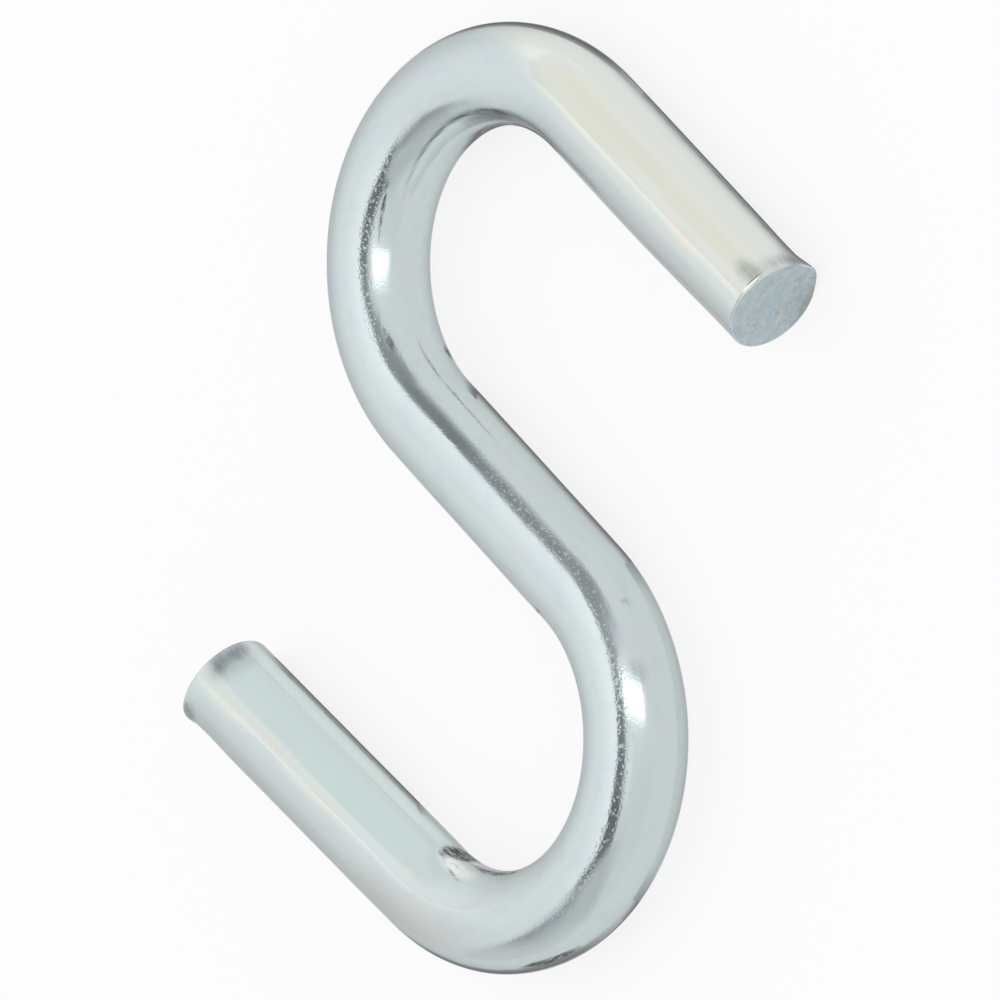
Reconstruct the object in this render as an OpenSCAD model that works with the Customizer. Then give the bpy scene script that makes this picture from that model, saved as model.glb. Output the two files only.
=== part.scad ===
// S hook, bent from one length of round steel rod, with both ends left as the shear cut them.
// It lies flat. The S is drawn in the XY plane with its shank along X, the upper hook is on
// the -X, +Y side, +Z is square to the plane of the S, and the rod's underside is at Z = 0.

/* [Rod] */
// Diameter of the round rod
rod_d = 6.35; // [4:0.05:9]

/* [Shank] */
// Straight length between the two bends
shank_len = 16.2; // [8:0.1:60]

/* [Upper hook] */
// Radius of the bend, measured to the middle of the rod
upper_bend_r = 11.6; // [9:0.1:30]
// Angle that the rod turns through in the bend
upper_bend_angle = 180; // [150:1:190]
// Straight length from the bend to the sheared end
upper_tail_len = 19; // [8:0.1:60]
// Direction of the shear lip, from the hook's outer side towards +Z
upper_lip_angle = -32; // [-60:1:60]

/* [Lower hook] */
// Radius of the bend, measured to the middle of the rod
lower_bend_r = 11.5; // [9:0.1:30]
// Angle that the rod turns through in the bend
lower_bend_angle = 177; // [150:1:190]
// Straight length from the bend to the sheared end
lower_tail_len = 21.4; // [8:0.1:60]
// Direction of the shear lip, from the hook's outer side towards +Z
lower_lip_angle = 32; // [-60:1:60]

/* [Forming pin] */
// Depth of the flat that the forming pin pressed along the inside of each bend
pin_flat_depth = 0.2; // [0.05:0.01:0.4]

/* [Sheared ends] */
// Height that the lip stands proud of the rod
lip_height = 0.08; // [0.03:0.01:0.2]
// Length of the lip along the rod
lip_len = 1.2; // [0.5:0.1:2.5]
// Sideways shift of the lip's cone, which sets how narrow the lip is
lip_shift = 0.6; // [0.4:0.05:1.2]
// Depth of the pinch that the blade pressed behind the lip
pinch_depth = 0.2; // [0.05:0.01:0.4]
// Distance from the cut face to the deepest place of the pinch
pinch_offset = 1.9; // [1.5:0.1:4]
// Radius of the pinch, seen from the side of the rod
pinch_r = 9; // [5:0.5:20]
// Radius of the edge that the blade rolled over, on the side away from the lip
roll_r = 0.6; // [0.3:0.05:0.9]
// Sideways shift of the rolled edge, which fades it out towards the lip
roll_shift = 0.35; // [0.1:0.05:0.6]

/* [Hidden] */
$fn = 64;

rod_r = rod_d / 2;
// The rolled edge's outer circle passes just outside the rod on the side away from the lip
roll_margin = roll_r / 12;
roll_outer_r = rod_r + roll_shift + roll_margin;
// Length of rod beyond the cut face, which the cut takes off
cut_off_len = roll_r;
// Height of the cutters that pass right through the rod
cutter_h = 2 * rod_d;
// Angle by which the two halves of a bend overlap
bend_overlap = 5;

// Furthest that a hook reaches sideways from the shank's axis
function side_reach(bend_r, angle, tail_len) =
    angle < 180
        ? bend_r * (1 - cos(angle)) + tail_len * sin(angle) - rod_r * cos(angle)
        : 2 * bend_r + rod_r;

// Distance along the shank's axis from its middle to the outside of a bend
function bend_reach(bend_r) = shank_len / 2 + bend_r + rod_r;

// Distance along the shank's axis from its middle to the end of the other hook's tail
function tail_reach(bend_r, angle, tail_len) =
    -shank_len / 2 - bend_r * sin(angle) - tail_len * cos(angle) + rod_r * abs(sin(angle));

// Half-way point between the outermost faces, in the plane of the S
x_low = -max(bend_reach(upper_bend_r), tail_reach(lower_bend_r, lower_bend_angle, lower_tail_len));
x_high = max(bend_reach(lower_bend_r), tail_reach(upper_bend_r, upper_bend_angle, upper_tail_len));
y_low = -side_reach(lower_bend_r, lower_bend_angle, lower_tail_len);
y_high = side_reach(upper_bend_r, upper_bend_angle, upper_tail_len);
middle = [(x_low + x_high) / 2, (y_low + y_high) / 2];

// Straight rod along +X from the origin
module straight_rod(len) {
    rotate([0, 90, 0])
        cylinder(d = rod_d, h = len);
}

// Stretch of a bend that runs through the origin along +X and turns towards -Y,
// between two angles counted from the origin
module bent_rod(bend_r, from_angle, to_angle) {
    translate([0, -bend_r, 0])
        rotate_extrude(angle = to_angle - from_angle, start = 90 - to_angle)
            translate([bend_r, 0])
                circle(d = rod_d);
}

// Moves its children to where such a bend ends, heading along the rod
module after_bend(bend_r, angle) {
    translate([0, -bend_r, 0])
        rotate([0, 0, -angle])
            translate([0, bend_r, 0])
                children();
}

// Cone that breaks out of the rod on the +Y side and stands proud of it at the cut face
module shear_lip(len) {
    cone_r = rod_r - lip_shift;
    translate([len - lip_len, lip_shift, 0])
        rotate([0, 90, 0])
            cylinder(r1 = cone_r - lip_height, r2 = cone_r + 3 * lip_height, h = 2 * lip_len);
}

// Room that the shear leaves for the rod: a flat face, with its edge rolled over on the -Y side
module sheared_space(len) {
    face_r = roll_outer_r - roll_r;
    space_len = len + rod_d;
    translate([-rod_d, roll_shift, 0])
        rotate([0, 90, 0])
            rotate_extrude() {
                square([face_r, space_len]);
                square([roll_outer_r, space_len - roll_r]);
                translate([face_r, space_len - roll_r])
                    circle(r = roll_r);
            }
}

// Shallow hollow across the +Y side, where the blade pressed before it cut
module blade_pinch(len) {
    translate([len - pinch_offset, rod_r - pinch_depth + pinch_r, 0])
        cylinder(r = pinch_r, h = cutter_h, center = true);
}

// Straight tail along +X that ends at the cut face. The rod itself isn't turned with the cut.
module sheared_tail(len, lip_angle) {
    difference() {
        intersection() {
            union() {
                straight_rod(len + cut_off_len);
                rotate([lip_angle, 0, 0])
                    shear_lip(len);
            }
            rotate([lip_angle, 0, 0])
                sheared_space(len);
        }
        rotate([lip_angle, 0, 0])
            blade_pinch(len);
    }
}

// One hook of the S, from the end of the shank at the origin. The bend is drawn from both of
// its ends, so that it meets the shank and the tail squarely, and its halves overlap.
module hook_arm(bend_r, angle, tail_len, lip_angle) {
    bent_rod(bend_r, 0, angle / 2 + bend_overlap);
    after_bend(bend_r, angle) {
        bent_rod(bend_r, -angle / 2, 0);
        sheared_tail(tail_len, lip_angle);
    }
}

// Forming pin that the rod was bent round, sunk into it by the depth of the flat
module forming_pin(bend_r) {
    translate([0, -bend_r, 0])
        cylinder(r = bend_r - rod_r + pin_flat_depth, h = cutter_h, center = true);
}

// Places its children at the +X end of the shank
module at_lower_end() {
    translate([shank_len / 2, 0, 0])
        children();
}

// Places its children at the -X end of the shank, turned half round
module at_upper_end() {
    rotate([0, 0, 180])
        translate([shank_len / 2, 0, 0])
            children();
}

module hook() {
    color([0.78, 0.82, 0.81])
        translate([-middle[0], -middle[1], rod_r])
            difference() {
                union() {
                    translate([-shank_len / 2, 0, 0])
                        straight_rod(shank_len);
                    at_lower_end()
                        hook_arm(lower_bend_r, lower_bend_angle, lower_tail_len, lower_lip_angle);
                    at_upper_end()
                        hook_arm(upper_bend_r, upper_bend_angle, upper_tail_len, upper_lip_angle);
                }
                at_lower_end()
                    forming_pin(lower_bend_r);
                at_upper_end()
                    forming_pin(upper_bend_r);
            }
}

hook();
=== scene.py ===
"""A zinc plated S hook, bent from one round steel rod, lying flat under soft studio light.

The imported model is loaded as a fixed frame. The hook's solid is replaced by one finer swept
surface, which carries the tool marks, the sheared ends and the plating. Sizes in the classes
are millimetres and degrees; meshes are written in metres, in the frame's own axes.
"""
import logging
import math
from dataclasses import dataclass
from enum import Enum

import bpy
import numpy as np
from mathutils import Matrix, Vector


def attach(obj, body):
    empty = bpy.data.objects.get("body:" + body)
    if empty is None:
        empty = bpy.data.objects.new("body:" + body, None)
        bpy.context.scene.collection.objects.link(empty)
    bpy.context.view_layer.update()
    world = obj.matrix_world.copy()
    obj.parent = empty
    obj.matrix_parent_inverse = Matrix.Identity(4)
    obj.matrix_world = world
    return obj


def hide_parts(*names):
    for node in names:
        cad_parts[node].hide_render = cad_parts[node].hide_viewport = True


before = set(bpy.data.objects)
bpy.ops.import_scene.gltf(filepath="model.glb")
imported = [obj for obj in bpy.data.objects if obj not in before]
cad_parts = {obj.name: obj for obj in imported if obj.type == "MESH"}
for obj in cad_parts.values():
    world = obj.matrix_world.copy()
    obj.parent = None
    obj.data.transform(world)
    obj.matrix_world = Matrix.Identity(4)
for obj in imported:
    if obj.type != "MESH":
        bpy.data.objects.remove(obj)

log = logging.getLogger("s_hook")

Colour = tuple[float, float, float, float]
WHITE: Colour = (1.0, 1.0, 1.0, 1.0)

MM = 0.001
# Places at which the rod's middle line is added up
LADDER_COUNT = 20001
# Cosine of the angle from the inside of a bend past which the pin's flat holds nothing back
LEAST_FACING = 0.3
# Radius that holds nothing back
NO_LIMIT = 99.0
# Share of the rim's radius that the smallest ring of a cut face has
SMALLEST_RING = 0.02
# Height above the floor of a strip's lower edge, and of the whole of one that lies down
LYING = 0.02
# Length of the steps in which a strip follows the rod
STRIP_STEP = 0.6


# ---------------------------------------------------------------- small helpers


def smooth_step(low: float, high: float, value: np.ndarray) -> np.ndarray:
    """Rise from 0 to 1 between low and high, level at both ends.

    Formula: with t the share of the way from low to high, held to 0..1, t squared times (3 - 2t).

    Args:
        low: Value at which the rise starts.
        high: Value at which the rise ends.
        value: Values to grade.

    Returns:
        The graded values, in the shape of value.
    """
    t = np.clip((value - low) / (high - low), 0.0, 1.0)
    return t * t * (3.0 - 2.0 * t)


def lesser(first: np.ndarray, second: np.ndarray, blend: float) -> np.ndarray:
    """Take the lesser of two surfaces, with the crease between them rounded.

    Formula: the mean of both, less half the square root of their difference squared plus
    blend squared.

    Args:
        first: Heights of one surface.
        second: Heights of the other surface.
        blend: How far the crease is rounded, in the units of the heights.

    Returns:
        The rounded lesser height.
    """
    gap = first - second
    return 0.5 * (first + second - np.sqrt(gap * gap + blend * blend))


def turned_by(angle: np.ndarray, centre: float) -> np.ndarray:
    """Signed angle from centre to angle in degrees, from -180 to 180."""
    return (angle - centre + 180.0) % 360.0 - 180.0


def bump(distance: np.ndarray, width: float) -> np.ndarray:
    """Bell curve that is 1 at distance 0 and about 0.37 at distance width."""
    return np.exp(-np.square(distance / width))


def add_object(name: str, data: bpy.types.ID) -> bpy.types.Object:
    """Put a mesh or a camera into the scene, as an object of that name."""
    thing = bpy.data.objects.new(name, data)
    bpy.context.scene.collection.objects.link(thing)
    return thing


# ---------------------------------------------------------------- the bent rod


class Turn(Enum):
    """Side to which a bend turns, seen from +Z while walking along the rod."""

    LEFT = 1
    RIGHT = -1


@dataclass(frozen=True)
class Bend:
    """One bend round a forming pin.

    Attributes:
        radius: Radius to the middle of the rod.
        angle: Angle that the rod turns through.
        turn: Side to which it turns.
        flat_depth: Depth of the flat that the pin pressed along the inside.
        thinning: Share of the rod's thickness lost to stretching.
    """

    radius: float
    angle: float
    turn: Turn
    flat_depth: float = 0.05
    thinning: float = 0.012

    def arc(self) -> float:
        """Length of the bend along the middle of the rod."""
        return self.radius * math.radians(self.angle)

    def inside(self) -> float:
        """Angle round the rod of the side that lay against the pin."""
        return 0.0 if self.turn is Turn.LEFT else 180.0


@dataclass(frozen=True)
class Dent:
    """A shallow press mark.

    Attributes:
        along: Distance from the upper cut face, along the rod.
        around: Angle round the rod.
        length: Half length along the rod.
        width: Half width round the rod.
        depth: Depth at the middle, negative for a raised place.
        skew: Shift round the rod per unit of length, which slants the mark.
    """

    along: float
    around: float
    length: float
    width: float
    depth: float
    skew: float = 0.0


class MarkKind(Enum):
    """Kinds of mark on the plating, by the name of the attribute that holds them: tints, painted
    sheen, painted shade, a painted glint, and rougher places.
    """

    LIGHT = "light"
    STRAW = "straw"
    PALE = "pale"
    DARK = "dark"
    PRESS_GLINT = "press_glint"
    FROST = "frost"
    ROSE = "rose"
    PAINTED_SIDE_SHADE = "painted_side_shade"
    SHADE_SMUDGE = "shade_smudge"
    PITTED = "pitted"
    HAZY = "hazy"


@dataclass(frozen=True)
class Mark:
    """A marked place on the plating: a tint, painted shade, painted sheen or glint, or a rougher
    place.

    Attributes:
        marking: Its kind.
        along: Distance of its middle from the upper cut face.
        around: Angle round the rod of its middle.
        length: Half length along the rod.
        width: Half width round the rod, as an angle.
        soft: Share of its size over which it fades.
        strength: Its strength.
        skew: Shift round the rod per unit of length, as an angle.
        square: How square its outline is: 2 is an ellipse, and more is squarer.
    """

    marking: MarkKind
    along: float
    around: float
    length: float
    width: float
    soft: float = 1.0
    strength: float = 1.0
    skew: float = 0.0
    square: float = 2.0

    def share(self, along: np.ndarray, around: np.ndarray) -> np.ndarray:
        """Strength of the mark at each place.

        Formula: the distances along and round the rod, over half the length and width, are
        raised to the power of squareness, added, and the root is taken. The strength falls
        smoothly to 0 while this goes from 1 less the softness to 1 plus the softness.

        Args:
            along: Distances along the rod.
            around: Angles round the rod.

        Returns:
            The strengths.
        """
        apart = along - self.along
        across = turned_by(around - self.skew * apart, self.around)
        reach = (
            np.abs(apart / self.length) ** self.square
            + np.abs(across / self.width) ** self.square
        ) ** (1.0 / self.square)
        return self.strength * (1.0 - smooth_step(1.0 - self.soft, 1.0 + self.soft, reach))


@dataclass(frozen=True)
class ShearedEnd:
    """A rod end as the shear blade left it.

    Attributes:
        tail: Straight length from the bend to the cut face.
        lip: Angle round the rod of the lip.
        lip_height: Height that the lip stands proud of the rod.
        lip_length: Length of the lip along the rod.
        lip_width: Half width of the lip, as an angle.
        pinch: Depth of the pinch behind the lip.
        pinch_offset: Distance from the cut face to the deepest place of the pinch.
        pinch_length: Half length of the pinch.
        roll: Radius of the rolled edge where it is widest.
        roll_around: Angle round the rod of the widest place of the rolled edge.
        roll_width: Half width of the rolled edge, as an angle.
        edge: Radius of the edge elsewhere.
        pinch_spread: Width of the pinch round the rod, in widths of the lip.
    """

    tail: float
    lip: float
    lip_height: float = 0.08
    lip_length: float = 0.55
    lip_width: float = 32.0
    pinch: float = 0.05
    pinch_offset: float = 1.9
    pinch_length: float = 1.5
    roll: float = 0.35
    roll_around: float = 125.0
    roll_width: float = 50.0
    edge: float = 0.07
    pinch_spread: float = 1.6

    def edge_radius(self, around: np.ndarray) -> np.ndarray:
        """Radius of the edge at each angle round the rod.

        Formula: the plain edge radius, plus a bell curve that reaches the roll radius at
        roll_around.

        Args:
            around: Angles round the rod.

        Returns:
            The edge radius at those angles.
        """
        grown = bump(turned_by(around, self.roll_around), self.roll_width)
        return self.edge + (self.roll - self.edge) * grown

    def change(self, back: np.ndarray, around: np.ndarray) -> np.ndarray:
        """Change of the rod's radius near the cut face.

        Formula: a quarter circle of the edge radius is taken off at the face, a bell shaped
        pinch is taken off behind it on the lip's side, and the lip is added as a ramp.

        Args:
            back: Distance behind the cut face, along the rod.
            around: Angle round the rod.

        Returns:
            What is added to the radius.
        """
        radius = self.edge_radius(around)
        short = np.clip(1.0 - back / radius, 0.0, 1.0)
        edge = radius * (1.0 - np.sqrt(1.0 - np.square(short)))
        off = turned_by(around, self.lip)
        pinch = self.pinch * bump(back - self.pinch_offset, self.pinch_length)
        pinch = pinch * bump(off, self.pinch_spread * self.lip_width)
        lip = self.lip_height * (1.0 - smooth_step(0.0, self.lip_length, back))
        return lip * bump(off, self.lip_width) - edge - pinch


@dataclass
class BentRod:
    """The whole hook: one rod from the upper cut face to the lower one.

    Attributes:
        diameter: Diameter of the rod.
        shank: Straight length between the bends.
        upper: Bend of the upper hook.
        lower: Bend of the lower hook.
        upper_end: Sheared end of the upper tail.
        lower_end: Sheared end of the lower tail.
        dents: Press marks.
        tinted: Tinted places, painted shade and sheen, and rougher places.
        bend_ramp: Length over which the thinning of a bend sets in, to each side of its end.
        waver: Height of the slow unevenness of the rod.
        crease: How far the edges of a pin's flat are rounded.
        swell: Height of the low swell across a cut face.
        around_count: Points round the rod.
        step: Distance between rings along the rod.
        edge_zone: Length from a cut face in which the rings stand closer together.
        edge_count: Rings in that length, and rings across a cut face.
    """

    diameter: float
    shank: float
    upper: Bend
    lower: Bend
    upper_end: ShearedEnd
    lower_end: ShearedEnd
    dents: tuple[Dent, ...]
    tinted: tuple[Mark, ...]
    bend_ramp: float = 2.5
    waver: float = 0.003
    crease: float = 0.03
    swell: float = 0.05
    around_count: int = 128
    step: float = 0.19
    edge_zone: float = 0.6
    edge_count: int = 14

    def limits(self) -> tuple[float, ...]:
        """Distances along the rod of both cut faces and of the ends of the bends, in order."""
        lengths = (
            self.upper_end.tail,
            self.upper.arc(),
            self.shank,
            self.lower.arc(),
            self.lower_end.tail,
        )
        return (0.0, *np.cumsum(lengths))

    def shank_middle(self) -> tuple[float, float]:
        """Place of the middle of the shank in the plane of the S, whose box is centred.

        Formula: each bend's reach along the shank, and each hook's reach across it, is
        counted from the middle of the shank. The middle of the box is half way between.

        Returns:
            Its x and y.
        """
        half = 0.5 * self.diameter
        turned = math.radians(self.lower.angle)
        below = (
            self.lower.radius * (1.0 - math.cos(turned))
            + self.lower_end.tail * math.sin(turned)
            - half * math.cos(turned)
        )
        above = 2.0 * self.upper.radius + half
        return 0.5 * (self.upper.radius - self.lower.radius), 0.5 * (below - above)

    def heading(self, along: np.ndarray) -> np.ndarray:
        """Direction of the rod's middle line in the plane of the S, in radians.

        Formula: half a turn on the upper tail, then the length run in each bend over its
        radius is added in the upper bend and taken off in the lower one.

        Args:
            along: Distances along the rod.

        Returns:
            The direction at those distances.
        """
        _, upper_in, upper_out, lower_in, lower_out, _ = self.limits()
        in_upper = np.clip(along, upper_in, upper_out) - upper_in
        in_lower = np.clip(along, lower_in, lower_out) - lower_in
        return (
            math.pi
            + self.upper.turn.value * in_upper / self.upper.radius
            + self.lower.turn.value * in_lower / self.lower.radius
        )

    def middle_line(self, along: np.ndarray) -> np.ndarray:
        """Points of the rod's middle line in the plane of the S.

        Formula: the direction is added up along the rod by the midpoint rule on a fine
        ladder, and the ladder starts at the upper cut face, which has its place from the
        middle of the shank.

        Args:
            along: Distances along the rod.

        Returns:
            Array of x and y, one row for each distance.
        """
        ladder = np.linspace(0.0, self.limits()[-1], LADDER_COUNT)
        half_way = self.heading(0.5 * (ladder[1:] + ladder[:-1]))
        run = np.diff(ladder)
        x = np.concatenate(([0.0], np.cumsum(run * np.cos(half_way))))
        y = np.concatenate(([0.0], np.cumsum(run * np.sin(half_way))))
        middle_x, middle_y = self.shank_middle()
        start_x = middle_x - 0.5 * self.shank + self.upper_end.tail
        start_y = middle_y + 2.0 * self.upper.radius
        return np.stack(
            (start_x + np.interp(along, ladder, x), start_y + np.interp(along, ladder, y)),
            axis=-1,
        )

    def flat_limit(
        self, bend: Bend, start: float, along: np.ndarray, around: np.ndarray
    ) -> np.ndarray:
        """Radius at which the forming pin's flat stops the rod's surface.

        Formula: seen along the rod the flat is a straight line at the rod's radius less the
        flat's depth, so the limit is that distance over the cosine of the angle from the
        inside. Past the flat's ends the line runs out as the pin's circle does.

        Args:
            bend: The bend that the pin made.
            start: Distance along the rod of the bend's start.
            along: Distance along the rod.
            around: Angle round the rod.

        Returns:
            The largest radius that the flat allows.
        """
        past = np.maximum(np.maximum(start - along, along - start - bend.arc()), 0.0)
        pin = bend.radius - 0.5 * self.diameter + bend.flat_depth
        drop = np.sqrt(np.maximum(pin * pin - past * past, 0.0))
        reach = bend.radius - drop
        facing = np.cos(np.radians(around - bend.inside()))
        limit = reach / np.maximum(facing, LEAST_FACING)
        return np.where(facing > LEAST_FACING, limit, NO_LIMIT)

    def unevenness(self, along: np.ndarray, turn: np.ndarray) -> np.ndarray:
        """Slow unevenness that drawing left on the rod.

        Formula: three sine waves along the rod, about 10, 17 and 6 mm long, whose starts
        shift with the angle round the rod.

        Args:
            along: Distances along the rod.
            turn: Angles round the rod, in radians.

        Returns:
            What it adds to the radius.
        """
        middling, slow, quick = 0.61 * along, 0.37 * along, 1.07 * along
        leaning = np.sin(middling + 1.3 * np.cos(turn)) * np.cos(turn + 0.4)
        folded = np.sin(slow + 2.1 + np.sin(2.0 * turn))
        wound = 0.6 * np.sin(quick + 3.0 * turn)
        return self.waver * (leaning + folded + wound)

    def radius(self, along: np.ndarray, around: np.ndarray) -> np.ndarray:
        """Distance from the middle line to the surface.

        Formula: the rod's radius, less the thinning of the bends, plus the slow unevenness,
        plus the ends' changes, less the dents; then held under the pin flats.

        Args:
            along: Distances along the rod.
            around: Angles round the rod.

        Returns:
            The radius at each place.
        """
        _, upper_in, upper_out, lower_in, lower_out, length = self.limits()
        turn = np.radians(around)
        size = np.full(np.broadcast(along, around).shape, 0.5 * self.diameter)
        for bend, first, last in (
            (self.upper, upper_in, upper_out),
            (self.lower, lower_in, lower_out),
        ):
            begun, ended = (
                smooth_step(place - self.bend_ramp, place + self.bend_ramp, along)
                for place in (first, last)
            )
            bent = begun * (1.0 - ended)
            size = size * (1.0 - bend.thinning * bent * np.square(np.cos(turn)))
        size = size + self.unevenness(along, turn)
        size = size + self.upper_end.change(along, around)
        size = size + self.lower_end.change(length - along, around)
        for dent in self.dents:
            apart = along - dent.along
            across = np.radians(turned_by(around, dent.around)) * 0.5 * self.diameter
            shape = bump(apart, dent.length) * bump(across - dent.skew * apart, dent.width)
            size = size - dent.depth * shape
        for bend, first in ((self.upper, upper_in), (self.lower, lower_in)):
            size = lesser(size, self.flat_limit(bend, first, along, around), self.crease)
        return size

    def stations(self) -> np.ndarray:
        """Distances along the rod of the rings, close together at both edges."""
        length, near = self.limits()[-1], self.edge_zone
        edge = near * np.square(np.linspace(0.0, 1.0, self.edge_count))[:-1]
        count = int(round((length - 2.0 * near) / self.step))
        middle = np.linspace(near, length - near, count + 1)
        return np.concatenate((edge, middle, (length - edge)[::-1]))

    def angles(self) -> np.ndarray:
        """Angles round the rod of the points of a ring, in degrees."""
        return np.arange(self.around_count) * 360.0 / self.around_count

    def point(self, along: np.ndarray, around: np.ndarray, size: np.ndarray) -> np.ndarray:
        """Place points at a distance from the middle line.

        Formula: the middle line's point, plus size times (cosine of the angle times the
        direction to the left of the rod, plus sine of the angle times +Z), lifted by the
        rod's radius.

        Args:
            along: Distances along the rod.
            around: Angles round the rod.
            size: Distances from the middle line.

        Returns:
            Points in millimetres, with x, y and z on the last axis.
        """
        shape = np.broadcast(along, around, size).shape
        along, around, size = (np.broadcast_to(a, shape) for a in (along, around, size))
        flat = np.ascontiguousarray(along).ravel()
        line = self.middle_line(flat).reshape(shape + (2,))
        way = self.heading(flat).reshape(shape)
        turn = np.radians(around)
        side = size * np.cos(turn)
        return np.stack(
            (
                line[..., 0] - side * np.sin(way),
                line[..., 1] + side * np.cos(way),
                0.5 * self.diameter + size * np.sin(turn),
            ),
            axis=-1,
        )

    def rings(self) -> tuple[np.ndarray, np.ndarray, np.ndarray]:
        """All rings of the surface, from the middle of one cut face to that of the other.

        Formula: the side has one ring at each station. Each cut face is a fan of rings
        whose size shrinks from the rim to almost nothing, with a low swell across it that
        is 0 at the rim and goes round with the angle and inward with the size.

        Returns:
            Points (rings, angles, 3), unbent places (rings, angles, 3) and the share of the
            rim's radius for each ring, all in millimetres.
        """
        around = self.angles()[None, :]
        stations = self.stations()[:, None]
        side = self.radius(stations, around)
        shares = np.linspace(1.0, SMALLEST_RING, self.edge_count)[1:, None]
        turn = np.radians(around)
        swell = np.sin(2.3 * shares + turn + 0.8)
        swell = self.swell * (1.0 - np.square(shares)) * swell
        sides = np.broadcast_to(stations, side.shape)
        along = np.concatenate((swell[::-1], sides, self.limits()[-1] - swell))
        size = np.concatenate(((side[:1] * shares)[::-1], side, side[-1:] * shares))
        points = self.point(along, around, size)
        unbent = np.stack((along, size * np.cos(turn), size * np.sin(turn)), axis=-1)
        whole = np.concatenate((shares[::-1, 0], np.ones(len(stations)), shares[:, 0]))
        return points, unbent, whole

    def build(self, name: str, finishes: tuple[bpy.types.Material, ...]) -> bpy.types.Object:
        """Make the hook's mesh.

        Formula: neighbouring rings are joined by quads that close on themselves round the
        rod, and each cut face is closed at its middle by one fan of triangles.

        Args:
            name: Name of the piece.
            finishes: Materials of the side and of the cut faces.

        Returns:
            The finished object, at the origin.
        """
        points, unbent, whole = self.rings()
        ring_count, around_count = points.shape[:2]
        poles = np.stack((points[0].mean(axis=0), points[-1].mean(axis=0)))
        pole_unbent = np.stack((unbent[0].mean(axis=0), unbent[-1].mean(axis=0)))
        vertices = np.concatenate((points.reshape(-1, 3), poles)) * MM
        places = np.concatenate((unbent.reshape(-1, 3), pole_unbent)) * MM

        index = np.arange(ring_count * around_count).reshape(ring_count, around_count)
        after = np.roll(index, -1, axis=1)
        quads = np.stack((index[:-1], index[1:], after[1:], after[:-1]), axis=-1)
        quads = quads.reshape(-1, 4)
        first_pole, last_pole = ring_count * around_count, ring_count * around_count + 1
        first = np.stack((np.full(around_count, first_pole), index[0], after[0]), axis=-1)
        last = np.stack((np.full(around_count, last_pole), after[-1], index[-1]), axis=-1)

        mesh = bpy.data.meshes.new(name)
        fans = np.concatenate((first, last))
        corners = np.concatenate((quads.ravel(), fans.ravel())).astype(np.int32)
        totals = np.concatenate((np.full(len(quads), 4), np.full(len(fans), 3)))
        starts = np.concatenate(([0], np.cumsum(totals)[:-1]))
        mesh.vertices.add(len(vertices))
        mesh.vertices.foreach_set("co", vertices.astype(np.float32).ravel())
        mesh.loops.add(len(corners))
        mesh.loops.foreach_set("vertex_index", corners)
        mesh.polygons.add(len(totals))
        mesh.polygons.foreach_set("loop_start", starts.astype(np.int32))
        mesh.update(calc_edges=True)

        on_side = np.logical_and(whole[:-1] == 1.0, whole[1:] == 1.0)
        finish = np.repeat(np.where(on_side, 0, 1), around_count)
        finish = np.concatenate((finish, np.ones(2 * around_count, int)))
        for material in finishes:
            mesh.materials.append(material)
        mesh.polygons.foreach_set("material_index", finish.astype(np.int32))
        mesh.polygons.foreach_set("use_smooth", np.ones(len(totals), bool))
        place = mesh.attributes.new("unbent", "FLOAT_VECTOR", "POINT")
        place.data.foreach_set("vector", places.astype(np.float32).ravel())
        self.marking(mesh, places / MM)
        if mesh.validate(verbose=True):
            log.warning("%s: the mesh had to be corrected", name)
        return add_object(name, mesh)

    def marking(self, mesh: bpy.types.Mesh, unbent: np.ndarray) -> None:
        """Write the strength of each kind of mark, painted shade and sheen among them, to the
        mesh.

        Args:
            mesh: The hook's mesh.
            unbent: Place of each vertex on the unbent rod.
        """
        along = unbent[:, 0]
        around = np.degrees(np.arctan2(unbent[:, 2], unbent[:, 1]))
        for kind in MarkKind:
            shares = [m.share(along, around) for m in self.tinted if m.marking is kind]
            total = np.clip(np.sum(shares, axis=0), 0.0, 1.0)
            layer = mesh.attributes.new(kind.value, "FLOAT", "POINT")
            layer.data.foreach_set("value", total.astype(np.float32))


# ---------------------------------------------------------------- node helpers


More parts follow.
